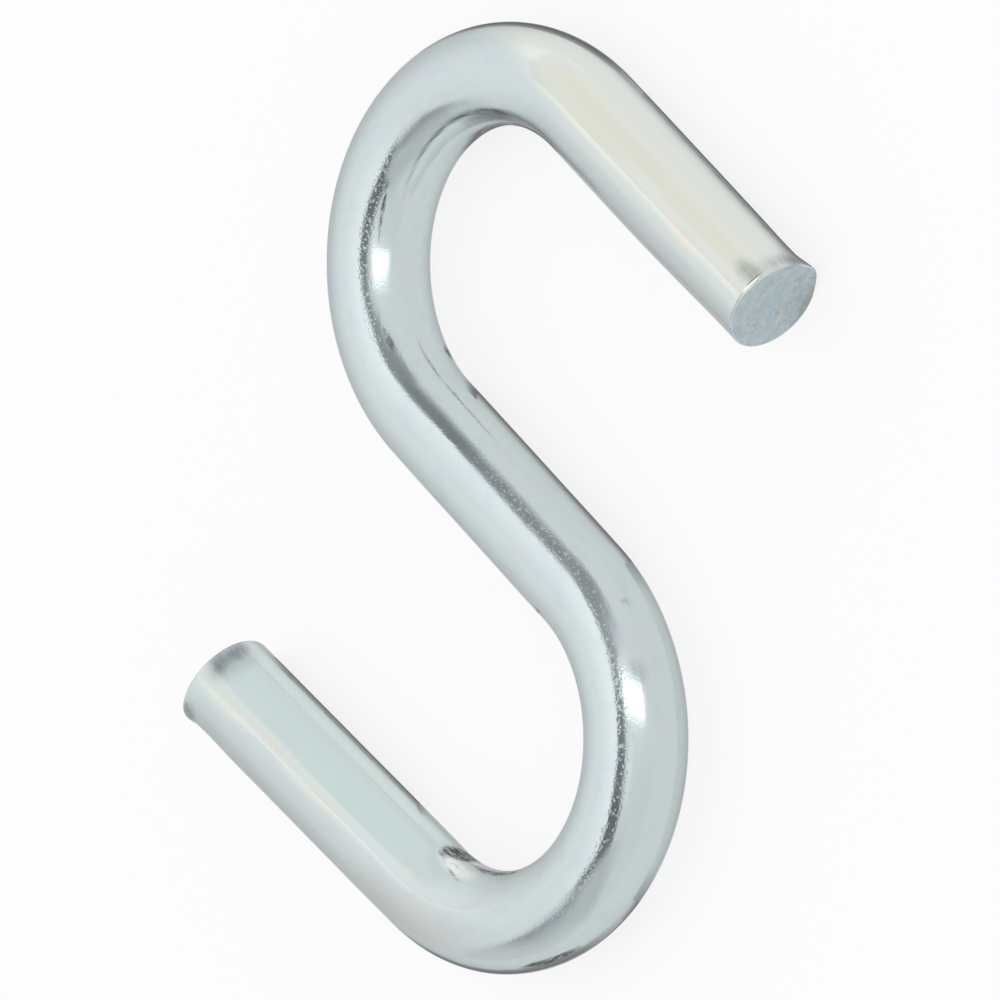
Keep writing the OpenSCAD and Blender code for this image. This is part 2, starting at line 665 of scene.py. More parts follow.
class Nodes:
    """Small builder of shader nodes inside one node tree."""

    def __init__(self, tree: bpy.types.NodeTree) -> None:
        """Keep the tree that the nodes go into.

        Args:
            tree: Node tree of a material, a world or a group.
        """
        self.tree = tree

    def add(self, kind: str, **settings: object) -> bpy.types.Node:
        """Add a node and set its properties.

        Args:
            kind: Type name of the node.
            **settings: Properties of the node.

        Returns:
            The new node.
        """
        node = self.tree.nodes.new(kind)
        for key, value in settings.items():
            setattr(node, key, value)
        return node

    def feed(self, socket: bpy.types.NodeSocket, value: object) -> None:
        """Link an output into a socket, or set the socket to a constant.

        Args:
            socket: Input socket.
            value: An output socket, a number or a tuple of numbers.
        """
        if isinstance(value, bpy.types.NodeSocket):
            self.tree.links.new(value, socket)
        else:
            socket.default_value = value

    def math(self, operation: str, *values: object, clamp: bool = False) -> object:
        """Add a Math node and return its output.

        Args:
            operation: Name of the operation.
            *values: Inputs, as outputs or numbers.
            clamp: Whether the result is held to 0..1.

        Returns:
            The output socket.
        """
        node = self.add("ShaderNodeMath", operation=operation, use_clamp=clamp)
        for socket, value in zip(node.inputs, values):
            self.feed(socket, value)
        return node.outputs[0]

    def times(self, first: object, second: object) -> object:
        """Product of two values, as an output socket."""
        return self.math("MULTIPLY", first, second)

    def dot(self, first: object, second: object) -> object:
        """Dot product of two vectors, as an output socket."""
        node = self.add("ShaderNodeVectorMath", operation="DOT_PRODUCT")
        self.feed(node.inputs[0], first)
        self.feed(node.inputs[1], second)
        return node.outputs["Value"]

    def stretch(self, vector: object, scale: tuple[float, float, float]) -> object:
        """Scale a vector along its own axes, as an output socket."""
        node = self.add("ShaderNodeVectorMath", operation="MULTIPLY")
        self.feed(node.inputs[0], vector)
        self.feed(node.inputs[1], scale)
        return node.outputs["Vector"]

    def grade(
        self, value: object, low: object, high: object, start: float = 0.0, end: float = 1.0
    ) -> object:
        """Map a value smoothly from one range to another.

        Args:
            value: Output to grade.
            low: Input value at which the grade starts.
            high: Input value at which it ends.
            start: Result at and below low.
            end: Result at and above high.

        Returns:
            The output socket.
        """
        node = self.add("ShaderNodeMapRange", interpolation_type="SMOOTHSTEP", clamp=True)
        for key, given in zip(
            ("Value", "From Min", "From Max", "To Min", "To Max"),
            (value, low, high, start, end),
        ):
            self.feed(node.inputs[key], given)
        return node.outputs["Result"]

    def noise(
        self, place: object, size: float, detail: float = 2.0, rough: float = 0.5
    ) -> object:
        """Noise with blotches of about the given size.

        Args:
            place: Vector in metres.
            size: Size of a blotch, in millimetres.
            detail: Number of finer layers.
            rough: Strength of the finer layers.

        Returns:
            The output socket, from 0 to 1.
        """
        node = self.add("ShaderNodeTexNoise", noise_dimensions="3D")
        self.feed(node.inputs["Vector"], place)
        node.inputs["Scale"].default_value = 1.0 / (size * MM)
        node.inputs["Detail"].default_value = detail
        node.inputs["Roughness"].default_value = rough
        return node.outputs["Fac"]

    def tint(self, share: object, first: object, second: object) -> object:
        """Mix two colours by a share, as an output socket."""
        node = self.add("ShaderNodeMix", data_type="RGBA", blend_type="MIX")
        self.feed(node.inputs["Factor"], share)
        self.feed(node.inputs["A"], first)
        self.feed(node.inputs["B"], second)
        return node.outputs["Result"]

    def attribute(self, name: str, output: str) -> bpy.types.NodeSocket:
        """One output of the node that reads an attribute of the mesh."""
        return self.add("ShaderNodeAttribute", attribute_name=name).outputs[output]

    def bump(self, height: object, size: float, under: object = None) -> object:
        """Turn a height into a normal.

        Args:
            height: Height, as an output.
            size: How far 1 in that height stands out, in millimetres.
            under: Normal to start from, or None for the surface's own.

        Returns:
            The output socket with the normal.
        """
        node = self.add("ShaderNodeBump")
        node.inputs["Strength"].default_value = 1.0
        node.inputs["Distance"].default_value = size * MM
        self.feed(node.inputs["Height"], height)
        if under is not None:
            self.feed(node.inputs["Normal"], under)
        return node.outputs["Normal"]

    def shader(self, kind: str, **values: object) -> bpy.types.NodeSocket:
        """Add a shader node, feed its inputs by name, and return its output."""
        node = self.add(kind)
        for key, value in values.items():
            self.feed(node.inputs[key], value)
        return node.outputs[0]

    def mix(self, share: object, first: object, second: object) -> bpy.types.NodeSocket:
        """Mix two shaders by a share, as an output socket."""
        node = self.add("ShaderNodeMixShader")
        for socket, value in zip(node.inputs, (share, first, second)):
            self.feed(socket, value)
        return node.outputs["Shader"]

    def finish(self, surface: object, kind: str = "ShaderNodeOutputMaterial") -> None:
        """Add the output node of the tree and feed a shader to its surface."""
        self.feed(self.add(kind).inputs["Surface"], surface)


def blank_nodes(owner: bpy.types.Material | bpy.types.World) -> Nodes:
    """Empty the node tree of a material or a world, and return a builder for it."""
    owner.use_nodes = True
    owner.node_tree.nodes.clear()
    return Nodes(owner.node_tree)


def linear(red: int, green: int, blue: int) -> Colour:
    """Turn a screen colour of 0 to 255 into the linear colour that sockets take.

    Args:
        red: Red of the screen colour.
        green: Green of the screen colour.
        blue: Blue of the screen colour.

    Returns:
        Linear red, green, blue and an alpha of 1.
    """

    def one(value: int) -> float:
        """One channel by the screen's own curve."""
        share = value / 255.0
        return share / 12.92 if share <= 0.04045 else ((share + 0.055) / 1.055) ** 2.4

    return one(red), one(green), one(blue), 1.0


def new_group(
    name: str, inputs: dict[str, str], outputs: dict[str, str]
) -> tuple[bpy.types.NodeTree, Nodes, bpy.types.Node, bpy.types.Node]:
    """Make an empty shader node group with named sockets.

    Args:
        name: Name of the group.
        inputs: Socket type for each input's name.
        outputs: Socket type for each output's name.

    Returns:
        The group, its node builder, its input node and its output node.
    """
    group = bpy.data.node_groups.new(name, "ShaderNodeTree")
    for key, kind in inputs.items():
        group.interface.new_socket(name=key, in_out="INPUT", socket_type=kind)
    for key, kind in outputs.items():
        group.interface.new_socket(name=key, in_out="OUTPUT", socket_type=kind)
    nodes = Nodes(group)
    return group, nodes, nodes.add("NodeGroupInput"), nodes.add("NodeGroupOutput")


# ---------------------------------------------------------------- finishes


@dataclass(frozen=True)
class Pattern:
    """A noise on the unbent rod, and how its heights are graded into shares.

    Attributes:
        size: Size of a blotch, in millimetres.
        detail: Number of finer layers.
        rough: Strength of the finer layers.
        low: Height at which the share starts to rise.
        high: Height at which it stops.
        least: Share at and below the low height.
        most: Share at and above the high height.
        squeeze: Scale of places along and across the rod before the noise is taken, where
            less than 1 draws the blotches out.
    """

    size: float
    detail: float
    rough: float
    low: float = 0.0
    high: float = 1.0
    least: float = 0.0
    most: float = 1.0
    squeeze: tuple[float, float, float] = (1.0, 1.0, 1.0)

    def height(self, nodes: Nodes, place: object) -> object:
        """Height of the noise at a place, as an output socket."""
        squeezed = nodes.stretch(place, self.squeeze)
        return nodes.noise(squeezed, self.size, self.detail, self.rough)

    def graded(self, nodes: Nodes, height: object) -> object:
        """Share for a height of the noise, as an output socket."""
        return nodes.grade(height, self.low, self.high, self.least, self.most)

    def share(self, nodes: Nodes, place: object) -> object:
        """Share at a place, as an output socket."""
        return self.graded(nodes, self.height(nodes, place))


@dataclass(frozen=True)
class PlatedGrain:
    """The fine relief that steel and plating share, as one node group.

    Attributes:
        grain: The clusters of the plating's crystals.
        sparkle: Its sparse larger crystals.
        peel: The slow unevenness under it.
    """

    grain: Pattern = Pattern(0.15, detail=1.0, rough=0.5)
    sparkle: Pattern = Pattern(0.2, detail=1.0, rough=0.5, low=0.54, high=0.7)
    peel: Pattern = Pattern(1.6, detail=1.0, rough=0.4)

    def group(self) -> bpy.types.NodeTree:
        """Make the group: a place goes in, a height in 0..1 of each kind comes out."""
        tree, nodes, given, out = new_group(
            "plated grain",
            {"Place": "NodeSocketVector"},
            {key: "NodeSocketFloat" for key in ("Grain", "Sparkle", "Peel")},
        )
        place = given.outputs["Place"]
        nodes.feed(out.inputs["Grain"], self.grain.height(nodes, place))
        nodes.feed(out.inputs["Sparkle"], self.sparkle.share(nodes, place))
        nodes.feed(out.inputs["Peel"], self.peel.height(nodes, place))
        return tree


class PlatedMaterial:
    """A metal material under construction.

    Attributes:
        material: The material.
        nodes: Builder for its node tree.
        shader: Its surface shader.
        place: Output with the place on the unbent rod, in metres.
        relief: Outputs of the shared relief group at that place.
    """

    def __init__(self, name: str, grain: bpy.types.NodeTree) -> None:
        """Start the material with its metal shader.

        Args:
            name: Name of the material.
            grain: The shared relief group.
        """
        self.material = bpy.data.materials.new(name)
        self.nodes = blank_nodes(self.material)
        self.shader = self.nodes.add("ShaderNodeBsdfPrincipled")
        self.shader.inputs["Metallic"].default_value = 1.0
        self.nodes.finish(self.shader.outputs["BSDF"])
        self.place = self.nodes.attribute("unbent", "Vector")
        group = self.nodes.add("ShaderNodeGroup", node_tree=grain)
        self.nodes.feed(group.inputs["Place"], self.place)
        self.relief = group.outputs

    def feed(self, key: str, value: object) -> None:
        """Feed an output, a number or a colour to an input of the shader."""
        self.nodes.feed(self.shader.inputs[key], value)


@dataclass(frozen=True)
class ZincPlate:
    """Bright zinc plate with a pale blue passivated skin.

    Attributes:
        skin: Main colour.
        warm: Cream tint where the passivation is thicker.
        cool: Blue tint where it is thinner.
        lilac: Lilac tint between them.
        light: Colour of the light stain.
        straw: Colour of the straw stain.
        pale: Colour of the even pale stain.
        press_glint_colour: Colour of rubbed metal.
        frost: Colour of the bluish white stain.
        rose: Colour of the warm pinkish stain.
        painted_side_shade: Colour of the plain grey stain.
        shade_smudge: Colour of soft bluish smudges.
        painted_shade: Colour of dark stains.
        edge: Share of the light that is mirrored at a grazing angle.
        warm_places: Where the skin is cream.
        cool_places: Where it is blue.
        lilac_places: Where it is lilac.
        streaks: Fine streaks along the rod, and where a rubbed place shows bare metal.
        flecks: Fine flecks in dark stains.
        shade_smudge_grade: Heights of the streaks between which a patch of painted shade grows,
            and the shares of it below and above them.
        painted_shade_weights: Weights of the mark, the streaks and the flecks in the sum that
            tells where painted shade takes.
        painted_shade_sums: Sums between which it goes from nothing to all.
        dullness: Where the skin is rougher, from its lowest to its highest roughness.
        painted_shade_roughness: Roughness that dark stains add.
        haze_roughness: Roughness that the hazy stain adds.
        pit_roughness: Roughness that the sparse crystals add where the skin is pitted.
        pit_least: Share of the sparse crystals where the skin is not pitted.
        lines: Drawing lines along the rod.
        peel_height: Height of the slow unevenness, in millimetres.
        line_height: Height of the drawing lines, in millimetres.
        grain_height: Height of the grain's relief, in millimetres.
        sparkle_height: Height of the sparse crystals, in millimetres.
        calming: Share of the relief that the light, straw and pale stains fill.
    """

    skin: Colour = linear(197, 208, 209)
    warm: Colour = linear(201, 208, 206)
    cool: Colour = linear(193, 205, 210)
    lilac: Colour = linear(199, 205, 210)
    light: Colour = linear(223, 226, 221)
    straw: Colour = linear(220, 222, 209)
    pale: Colour = linear(201, 215, 215)
    press_glint_colour: Colour = linear(235, 238, 236)
    frost: Colour = linear(213, 226, 224)
    rose: Colour = linear(226, 217, 207)
    painted_side_shade: Colour = linear(188, 189, 187)
    shade_smudge: Colour = linear(104, 112, 117)
    painted_shade: Colour = linear(80, 80, 76)
    edge: Colour = (0.65, 0.65, 0.65, 1.0)
    warm_places: Pattern = Pattern(1.7, detail=2.0, rough=0.6, low=0.5, high=0.72)
    cool_places: Pattern = Pattern(
        1.1, detail=2.0, rough=0.6, low=0.5, high=0.72, squeeze=(0.8, 1.2, 1.0)
    )
    lilac_places: Pattern = Pattern(
        3.7, detail=2.0, rough=0.5, low=0.48, high=0.75, most=0.6
    )
    streaks: Pattern = Pattern(
        0.35, detail=3.0, rough=0.7, low=0.25, high=0.5, squeeze=(0.25, 1.0, 1.0)
    )
    flecks: Pattern = Pattern(0.22, detail=2.0, rough=0.6)
    shade_smudge_grade: tuple[float, float, float, float] = (0.25, 0.6, 0.6, 1.0)
    painted_shade_weights: tuple[float, float, float] = (0.9, 1.6, 0.6)
    painted_shade_sums: tuple[float, float] = (1.45, 2.15)
    dullness: Pattern = Pattern(
        3.0, detail=3.0, rough=0.6, low=0.3, high=0.7, least=0.09, most=0.16
    )
    painted_shade_roughness: float = 0.25
    haze_roughness: float = 0.09
    pit_roughness: float = 0.32
    pit_least: float = 0.1
    lines: Pattern = Pattern(0.16, detail=2.0, rough=0.6, squeeze=(0.03, 1.0, 1.0))
    peel_height: float = 0.016
    line_height: float = 0.0008
    grain_height: float = 0.005
    sparkle_height: float = 0.005
    calming: float = 0.85

    def material(self, grain: bpy.types.NodeTree) -> bpy.types.Material:
        """Make the material.

        Args:
            grain: The shared relief group.

        Returns:
            The finished material.
        """
        made = PlatedMaterial("zinc plate", grain)
        nodes, place = made.nodes, made.place
        made.feed("Specular Tint", self.edge)
        amount = {kind: nodes.attribute(kind.value, "Fac") for kind in MarkKind}
        streak = self.streaks.height(nodes, place)
        # Share of painted shade: dark lines and shade painted into the colour.
        painted_shade = self.painted_shade_share(nodes, amount[MarkKind.DARK], streak, place)
        colour = nodes.tint(self.warm_places.share(nodes, place), self.skin, self.warm)
        colour = nodes.tint(self.cool_places.share(nodes, place), colour, self.cool)
        colour = nodes.tint(self.lilac_places.share(nodes, place), colour, self.lilac)
        press_glint = self.streaks.graded(nodes, streak)
        shade_smudge_grade = nodes.grade(streak, *self.shade_smudge_grade)
        # Mixed into the base colour in turn: painted sheen, tints, painted side shade, more
        # tints, the press mark's painted glint, and painted shade.
        for share, tinted in (
            (amount[MarkKind.LIGHT], self.light),
            (amount[MarkKind.FROST], self.frost),
            (amount[MarkKind.ROSE], self.rose),
            (amount[MarkKind.PAINTED_SIDE_SHADE], self.painted_side_shade),
            (amount[MarkKind.STRAW], self.straw),
            (amount[MarkKind.PALE], self.pale),
            (nodes.times(amount[MarkKind.PRESS_GLINT], press_glint), self.press_glint_colour),
            (nodes.times(amount[MarkKind.SHADE_SMUDGE], shade_smudge_grade), self.shade_smudge),
            (painted_shade, self.painted_shade),
        ):
            colour = nodes.tint(share, colour, tinted)
        made.feed("Base Color", colour)

        pitted = nodes.grade(amount[MarkKind.PITTED], 0.0, 1.0, self.pit_least, 1.0)
        pits = nodes.times(made.relief["Sparkle"], pitted)
        rough = self.dullness.share(nodes, place)
        for share, added in (
            (painted_shade, self.painted_shade_roughness),
            (amount[MarkKind.HAZY], self.haze_roughness),
            (pits, self.pit_roughness),
        ):
            rough = nodes.math("ADD", rough, nodes.times(share, added))
        made.feed("Roughness", rough)

        even = nodes.math("MAXIMUM", amount[MarkKind.STRAW], amount[MarkKind.PALE])
        even = nodes.math("MAXIMUM", even, amount[MarkKind.LIGHT])
        calm = nodes.math("SUBTRACT", 1.0, nodes.times(even, self.calming))
        normal = None
        for height, size in (
            (made.relief["Peel"], self.peel_height),
            (self.lines.height(nodes, place), self.line_height),
            (made.relief["Grain"], self.grain_height),
            (pits, self.sparkle_height),
        ):
            normal = nodes.bump(nodes.times(height, calm), size, normal)
        made.feed("Normal", normal)
        return made.material

    def painted_shade_share(self, nodes: Nodes, marking: object, streak: object, place: object) -> object:
        """Share of soot in a dark stain, which streaks and flecks break up.

        Formula: the strength of the mark, the streaks' height and the flecks' height, each times
        its weight, are added and graded. This is multiplied by the mark's strength.

        Args:
            nodes: Builder for the material's nodes.
            marking: Strength of the dark stain.
            streak: Height of the streaks.
            place: Place on the unbent rod.

        Returns:
            The output socket.
        """
        heights = (marking, streak, self.flecks.height(nodes, place))
        parts = [nodes.times(h, weight) for h, weight in zip(heights, self.painted_shade_weights)]
        total = nodes.math("ADD", nodes.math("ADD", parts[0], parts[1]), parts[2])
        return nodes.times(nodes.grade(total, *self.painted_shade_sums), marking)


@dataclass(frozen=True)
class ShearedFace:
    """The torn, plated face that the shear left across the rod.

    Attributes:
        skin: Main colour.
        dark: Colour of the hollows.
        cream: Colour of small warm flecks.
        brown: Colour of small dull flecks.
        mottle: Where the face stands out from its hollows.
        cream_flecks: Where the warm flecks are.
        brown_flecks: Where the dull flecks are.
        rough_heights: Heights of the mottle between which the roughness rises.
        roughness: Lowest and highest roughness.
        grain_height: Height of the torn grain, in millimetres.
    """

    skin: Colour = linear(194, 205, 208)
    dark: Colour = linear(172, 189, 197)
    cream: Colour = linear(214, 214, 202)
    brown: Colour = linear(150, 150, 146)
    mottle: Pattern = Pattern(
        0.55, detail=4.0, rough=0.7, low=0.35, high=0.65, squeeze=(1.0, 0.7, 1.0)
    )
    cream_flecks: Pattern = Pattern(
        0.5, detail=3.0, rough=0.7, low=0.5, high=0.75, most=0.55, squeeze=(1.0, 0.7, 1.0)
    )
    brown_flecks: Pattern = Pattern(
        0.62, detail=3.0, rough=0.7, low=0.52, high=0.75, most=0.5, squeeze=(1.0, 0.7, 1.0)
    )
    rough_heights: tuple[float, float] = (0.3, 0.7)
    roughness: tuple[float, float] = (0.42, 0.6)
    grain_height: float = 0.05

    def material(self, grain: bpy.types.NodeTree) -> bpy.types.Material:
        """Make the material.

        Args:
            grain: The shared relief group.

        Returns:
            The finished material.
        """
        made = PlatedMaterial("sheared face", grain)
        nodes, place = made.nodes, made.place
        mottle = self.mottle.height(nodes, place)
        colour = nodes.tint(self.mottle.graded(nodes, mottle), self.dark, self.skin)
        colour = nodes.tint(self.cream_flecks.share(nodes, place), colour, self.cream)
        colour = nodes.tint(self.brown_flecks.share(nodes, place), colour, self.brown)
        made.feed("Base Color", colour)
        made.feed("Roughness", nodes.grade(mottle, *self.rough_heights, *self.roughness))
        made.feed("Normal", nodes.bump(made.relief["Grain"], self.grain_height))
        return made.material


# ---------------------------------------------------------------- the studio


@dataclass(frozen=True)
class Viewpoint:
    """Where the camera stands and how it is turned.

    Attributes:
        aim: Point of the frame from which the way to the camera is measured.
        azimuth: Angle of that way round +Z, from +X.
        elevation: Angle of that way above the floor.
        roll: Turn of the camera against the clock, as seen from behind it.
        offset: How far the aim lies to the right of the picture's middle.
        distance: Distance from the aim to the camera.
        lens: Focal length for a sensor of that width.
        sensor: Width of the sensor.
        clips: Nearest and farthest distance that the camera sees, in metres.
    """

    aim: tuple[float, float, float]
    azimuth: float = 39.478
    elevation: float = 44.158
    roll: float = -91.951
    offset: float = 0.3934
    distance: float = 1144.85
    lens: float = 682.681
    sensor: float = 36.0
    clips: tuple[float, float] = (0.01, 100.0)

    def axes(self) -> tuple[Vector, Vector, Vector]:
        """Right, up and back of the picture as square unit vectors.

        Formula: back comes from the azimuth and the elevation. The level right is square to
        it and to +Z, and right is that turned round back by the roll.

        Returns:
            Right, up and back.
        """
        around, above, roll = map(math.radians, (self.azimuth, self.elevation, self.roll))
        level = Vector((-math.sin(around), math.cos(around), 0.0))
        out = Vector((math.cos(around), math.sin(around), 0.0))
        back = out * math.cos(above) + Vector((0.0, 0.0, math.sin(above)))
        right = level * math.cos(roll) + back.cross(level) * math.sin(roll)
        return right, back.cross(right), back

    def place_camera(self) -> bpy.types.Object:
        """Make the camera and set it as the scene's.

        Returns:
            The camera.
        """
        right, up, back = self.axes()
        spot = Vector(self.aim) + back * self.distance - right * self.offset
        data = bpy.data.cameras.new("camera")
        data.lens = self.lens
        data.sensor_width = self.sensor
        data.clip_start, data.clip_end = self.clips
        camera = add_object("camera", data)
        turn = Matrix((right, up, back)).transposed().to_4x4()
        camera.matrix_world = Matrix.Translation(spot * MM) @ turn
        bpy.context.scene.camera = camera
        return camera


@dataclass(frozen=True)
class Soft:
    """Half widths of the four soft edges of a card, as angles."""

    left: float = 1.5
    right: float = 1.5
    low: float = 1.5
    high: float = 1.5


@dataclass(frozen=True)
class Card:
    """A far light panel or dark flag, as a patch of the sky round the hook.

    Its place is given by angles from the way to the camera: sideways to the picture's right,
    and upward to its top.

    Attributes:
        name: What it is.
        left: Sideways angle of its left edge.
        right: Sideways angle of its right edge.
        low: Upward angle of its lower edge.
        high: Upward angle of its upper edge.
        light: Its light at the middle, where 1 is white.
        soft: Its soft edges.
        lean: Rise of its light per degree to the right.
        lift: Rise of its light per degree upward.
        skew: Shift of its left and right edges per degree upward.
    """

    name: str
    left: float
    right: float
    low: float
    high: float
    light: float
    soft: Soft = Soft()
    lean: float = 0.0
    lift: float = 0.0
    skew: float = 0.0

    def settings(self) -> dict[str, float]:
        """Values of the card group's inputs."""
        return {
            "Left": self.left,
            "Right": self.right,
            "Low": self.low,
            "High": self.high,
            "Soft Left": self.soft.left,
            "Soft Right": self.soft.right,
            "Soft Low": self.soft.low,
            "Soft High": self.soft.high,
            "Light": self.light,
            "Lean": self.lean,
            "Lift": self.lift,
            "Skew": self.skew,
        }


def glowing_mesh(
    name: str, points: np.ndarray, faces: np.ndarray, glows: np.ndarray
) -> bpy.types.Object:
    """Make a glowing sheet out of the camera's sight.

    Its front glows, and its back lets everything through.

    Args:
        name: Its name.
        points: Its vertices, in metres.
        faces: Its faces, as rows of vertex numbers.
        glows: Its light at each vertex, where 1 is white.

    Returns:
        The sheet, hidden from the camera, from shadows and from diffuse light.
    """
    mesh = bpy.data.meshes.new(name)
    mesh.from_pydata(points.tolist(), [], faces.tolist())
    glow = mesh.attributes.new("glow", "FLOAT", "POINT")
    glow.data.foreach_set("value", glows.astype(np.float32))
    material = bpy.data.materials.new(name.replace("_", " "))
    nodes = blank_nodes(material)
    front = nodes.shader("ShaderNodeEmission", Strength=nodes.attribute("glow", "Fac"))
    clear = nodes.shader("ShaderNodeBsdfTransparent")
    behind = nodes.add("ShaderNodeNewGeometry").outputs["Backfacing"]
    nodes.finish(nodes.mix(behind, front, clear))
    mesh.materials.append(material)
    sheet = add_object(name, mesh)
    sheet.visible_camera = False
    sheet.visible_shadow = False
    sheet.visible_diffuse = False
    return sheet


def hang_card(
    name: str, middle: Vector, sides: tuple[Vector, Vector], light: float
) -> bpy.types.Object:
    """Hang a flat glowing card in the studio.

    Args:
        name: Its name.
        middle: Its middle, in millimetres.
        sides: The ways from its middle to the middles of two of its edges. It glows to the
            side from which the first turns to the second against the clock.
        light: Its light, where 1 is white.

    Returns:
        The card.
    """
    run, over = (np.array(side) for side in sides)
    around = (-run - over, run - over, run + over, over - run)
    corners = np.array([np.array(middle) + way for way in around])
    return glowing_mesh(name, corners * MM, np.array([[0, 1, 2, 3]]), np.full(4, light))


@dataclass(frozen=True)
class NearPanel:
    """A light panel that stands near the hook.

    Attributes:
        name: Its name.
        over: Place of the hook that it stands over, in the frame's plane.
        distance: Distance toward the camera from the middle of the rod's thickness there.
        left: Reach to the picture's left.
        right: Reach to the picture's right.
        low: Reach downward.
        high: Reach upward.
        light: Its light, where 1 is white.
    """

    name: str
    over: tuple[float, float]
    distance: float
    left: float
    right: float
    low: float
    high: float
    light: float

    def build(self, rod: BentRod, view: Viewpoint) -> bpy.types.Object:
        """Hang the panel square to the way to the camera.

        Args:
            rod: The hook.
            view: The camera's place.

        Returns:
            The panel.
        """
        right, up, back = view.axes()
        middle = Vector((*self.over, 0.5 * rod.diameter)) + back * self.distance
        middle += right * (0.5 * (self.right - self.left)) + up * (0.5 * (self.high - self.low))
        sides = (up * (0.5 * (self.high + self.low)), right * (0.5 * (self.right + self.left)))
        return hang_card(self.name, middle, sides, self.light)


@dataclass(frozen=True)
class Reflector:
    """A small white card held over the rod, where the rod shows it to the camera.

    Attributes:
        name: Its name.
        along: Place on the rod that it is held over, from the upper cut face.
        around: Angle round the rod of that place.
        hover: Distance from that place.
        near: Reach of its edge that the greater angles round the rod show.
        far: Reach of its other edge.
        half_length: Half its side along the rod.
        light: Its light, where 1 is white.
    """

    name: str
    along: float
    around: float
    hover: float
    near: float
    far: float
    half_length: float
    light: float = 1.0

    def build(self, rod: BentRod, view: Viewpoint) -> bpy.types.Object:
        """Hang the card.

        Formula: one side of the card is along the rod, and the other is square to that and to
        the way to the camera mirrored in the rod's normal.

        Args:
            rod: The hook.
            view: The camera's place.

        Returns:
            The card.
        """
        along, around = np.array([self.along]), np.array([self.around])
        half = np.array([0.5 * rod.diameter])
        inner, outer = (rod.point(along, around, half * k)[0] for k in (0.0, 1.0))
        normal = Vector(outer - inner).normalized()
        back = view.axes()[2]
        way = 2.0 * normal.dot(back) * normal - back
        heading = float(rod.heading(along)[0])
        run = Vector((math.cos(heading), math.sin(heading), 0.0))
        over = way.cross(run).normalized()
        middle = Vector(outer) + way * self.hover + over * (0.5 * (self.far - self.near))
        sides = (-run * self.half_length, over * (0.5 * (self.far + self.near)))
        return hang_card(self.name, middle, sides, self.light)


@dataclass(frozen=True)
class Strip:
    """A glowing strip along one side of the rod, seen only in the hook's mirror: painted light
    where it is bright, painted shade where it is dark.

    It stands on the floor, or lies on it.

    Attributes:
        name: Its name.
        first: Distance of its first end from the upper cut face.
        last: Distance of its last end.
        around: Angle round the rod of its side.
        apart: Distances from the rod's middle line of its outer or lower edge, at the first
            end and at the last one.
        near: Distances of its inner or upper edge there.
        high: Height above the floor of its inner or upper edge.
        lights: Its light at the outer or lower edge and at the other, where 1 is white.
        ends: Its light at both ends.
        fade: Length over which it goes from the ends' light to its own.
    """

    name: str
    first: float
    last: float
    around: float
    apart: tuple[float, float] = (3.7, 3.7)
    near: tuple[float, float] = (3.7, 3.7)
    high: float = 6.2
    lights: tuple[float, float] = (1.0, 1.0)
    ends: float = 1.0
    fade: float = 0.1

    def build(self, rod: BentRod) -> bpy.types.Object:
        """Set the strip beside the rod.

        Formula: each edge follows the rod's middle line, at a distance that goes evenly from
        the first end's to the last end's. A strip that stands glows away from the rod, and
        one that lies on the floor glows upward.

        Args:
            rod: The hook.

        Returns:
            The strip.
        """
        count = int((self.last - self.first) / STRIP_STEP) + 2
        along = np.linspace(self.first, self.last, count)
        share = (along - self.first) / (self.last - self.first)
        whole = smooth_step(0.0, self.fade, np.minimum(along - self.first, self.last - along))
        lines, glows = [], []
        for ends, height, light in (
            (self.apart, LYING, self.lights[0]),
            (self.near, self.high, self.lights[1]),
        ):
            distance = ends[0] + (ends[1] - ends[0]) * share
            line = rod.point(along, np.array(self.around), distance)
            line[:, 2] = height
            lines.append(line)
            glows.append(self.ends + (light - self.ends) * whole)
        rows = np.stack(lines, axis=1).reshape(-1, 3) * MM
        first = 2 * np.arange(len(along) - 1)
        on_the_left = math.cos(math.radians(self.around)) > 0.0
        # Each step has a lower or outer vertex, then an upper or inner one.
        order = (0, 1, 3, 2) if on_the_left else (0, 2, 3, 1)
        faces = np.stack([first + k for k in order], axis=-1)
        return glowing_mesh(self.name, rows, faces, np.stack(glows, axis=1).ravel())


